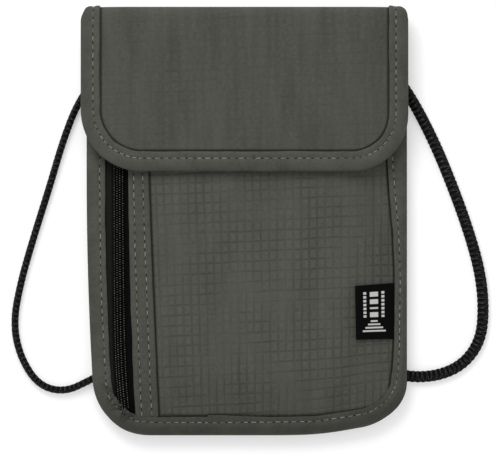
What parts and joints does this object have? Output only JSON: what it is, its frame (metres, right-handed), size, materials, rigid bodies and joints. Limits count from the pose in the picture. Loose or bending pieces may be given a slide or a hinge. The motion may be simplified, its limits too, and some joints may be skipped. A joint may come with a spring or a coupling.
{
  "type": "neck pouch wallet",
  "caption": "Flat fabric travel pouch on a neck cord, with a bound flap over the passport pocket, a vertical zip on the front and a folded woven label.",
  "frame": {"origin": "middle of the pouch's own box, measured without its cord", "axes": "+Z out of the front, +Y towards the top fold, +X to the right of someone facing the front; the pouch lies on its back"},
  "size_m": [0.2085, 0.186, 0.019],
  "materials": {
    "ripstop": "matte ripstop nylon",
    "binding": "matte folded binding tape",
    "lining": "smooth lining cloth",
    "foil": "thin foil on film",
    "tape": "black woven zip tape",
    "coil": "black nylon coil",
    "metal": "black enamelled zinc",
    "pile": "black hook and loop",
    "cord": "black braided polyester",
    "webbing": "black narrow webbing",
    "label": "black woven label"
  },
  "bodies": {
    "pouch": {"back_panel": "ripstop", "rfid_shield_back": "foil", "back_lining": "lining", "pocket_divider": "lining", "rfid_shield_front": "foil", "front_panel": "ripstop", "zip_facing": "binding", "mouth_hem": "binding", "loop_strip": "pile", "body_binding": "binding", "zip_tape_left": "tape", "zip_tape_right": "tape", "zip_coil_left": "coil", "zip_coil_right": "coil", "zip_stops": "metal", "cord_anchor_left": "webbing", "cord_anchor_right": "webbing", "neck_cord_left": "cord", "neck_cord_right": "cord", "neck_cord_coil": "cord"},
    "fold": {"fold_face": "ripstop", "fold_lining": "lining"},
    "flap": {"flap_face": "ripstop", "flap_lining": "lining", "flap_binding": "binding", "hook_strip": "pile"},
    "zip_slider": {"slider_body": "metal"},
    "zip_puller": {"puller": "metal"},
    "label": {"woven_label": "label"}
  },
  "joints": [
    {"name": "fold_roll", "type": "hinge", "parent": "pouch", "child": "fold", "pos_m": [0, 0.092, -0.0035], "axis": [-1, 0, 0], "range_deg": [0, 90]},
    {"name": "flap_lift", "type": "hinge", "parent": "fold", "child": "flap", "pos_m": [0, 0.092, 0.00785], "axis": [-1, 0, 0], "range_deg": [0, 90]},
    {"name": "slider_travel", "type": "slide", "parent": "pouch", "child": "zip_slider", "axis": [0, -1, 0], "range_m": [0, 0.13]},
    {"name": "puller_swing", "type": "hinge", "parent": "zip_slider", "child": "zip_puller", "pos_m": [-0.05573, 0.0673, 0.00385], "axis": [-0.9368, 0, -0.3499], "range_deg": [0, 6]},
    {"name": "label_lift", "type": "hinge", "parent": "pouch", "child": "label", "pos_m": [0.0619, -0.0392, -0.00035], "axis": [0, 1, 0], "range_deg": [0, 95]}
  ],
  "couplings": [
    {"joint": "fold_roll", "follows": "flap_lift", "ratio": 1}
  ]
}
